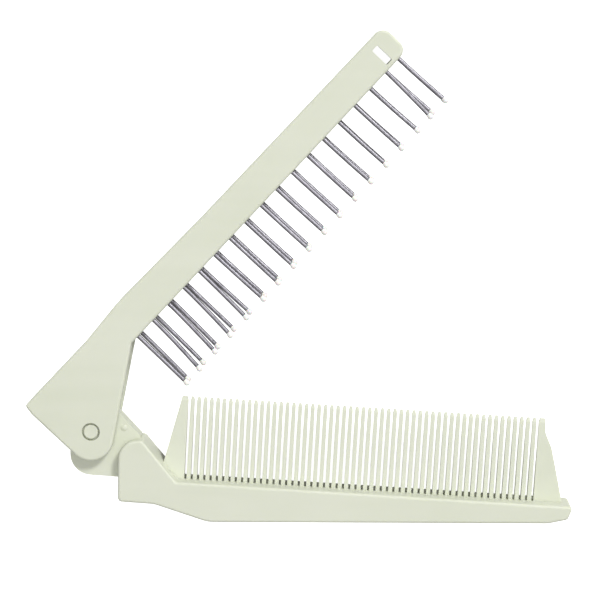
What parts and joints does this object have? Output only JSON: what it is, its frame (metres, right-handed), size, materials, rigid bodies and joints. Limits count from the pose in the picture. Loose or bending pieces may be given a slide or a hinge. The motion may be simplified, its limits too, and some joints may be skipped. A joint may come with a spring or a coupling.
{
  "type": "folding flea comb",
  "caption": "Folding pet comb: a fine-toothed flea comb and a two-row pin brush with ball tips turn on one plastic hinge pin and close over each other.",
  "frame": {"origin": "on the hinge axis, at the outer face of the far ear, which is one of the two flat sides the comb lies on", "axes": "+Z along the hinge axis, away from the surface the comb lies on; +X along the comb arm's flat back, from the hinge to its tip; +Y from that back towards the tooth tips"},
  "size_m": [0.1265, 0.1136, 0.0108],
  "materials": {
    "arm_plastic": "satin moulded, pale sage",
    "strip_plastic": "satin moulded, pale sage",
    "pin_plastic": "satin moulded, pale sage",
    "steel": "drawn steel wire",
    "nylon": "glossy nylon"
  },
  "bodies": {
    "brush": {"brush_arm": "arm_plastic", "pin_strip": "strip_plastic", "hinge_pin": "pin_plastic", "pin_pair_01": "steel", "ball_tips_01": "nylon", "pin_pair_02": "steel", "ball_tips_02": "nylon", "pin_pair_03": "steel", "ball_tips_03": "nylon", "pin_pair_04": "steel", "ball_tips_04": "nylon", "pin_pair_05": "steel", "ball_tips_05": "nylon", "pin_pair_06": "steel", "ball_tips_06": "nylon", "pin_pair_07": "steel", "ball_tips_07": "nylon", "pin_pair_08": "steel", "ball_tips_08": "nylon", "pin_pair_09": "steel", "ball_tips_09": "nylon", "pin_pair_10": "steel", "ball_tips_10": "nylon", "pin_pair_11": "steel", "ball_tips_11": "nylon", "pin_pair_12": "steel", "ball_tips_12": "nylon", "pin_pair_13": "steel", "ball_tips_13": "nylon", "pin_pair_14": "steel", "ball_tips_14": "nylon", "pin_pair_15": "steel", "ball_tips_15": "nylon", "pin_pair_16": "steel", "ball_tips_16": "nylon", "pin_pair_17": "steel", "ball_tips_17": "nylon", "pin_pair_18": "steel", "ball_tips_18": "nylon"},
    "comb": {"comb_arm": "arm_plastic"}
  },
  "joints": [
    {"name": "fold_hinge", "type": "hinge", "parent": "brush", "child": "comb", "pos_m": [0, 0, 0.0054], "axis": [0, 0, 1], "range_deg": [-130.1, 49.8]}
  ]
}
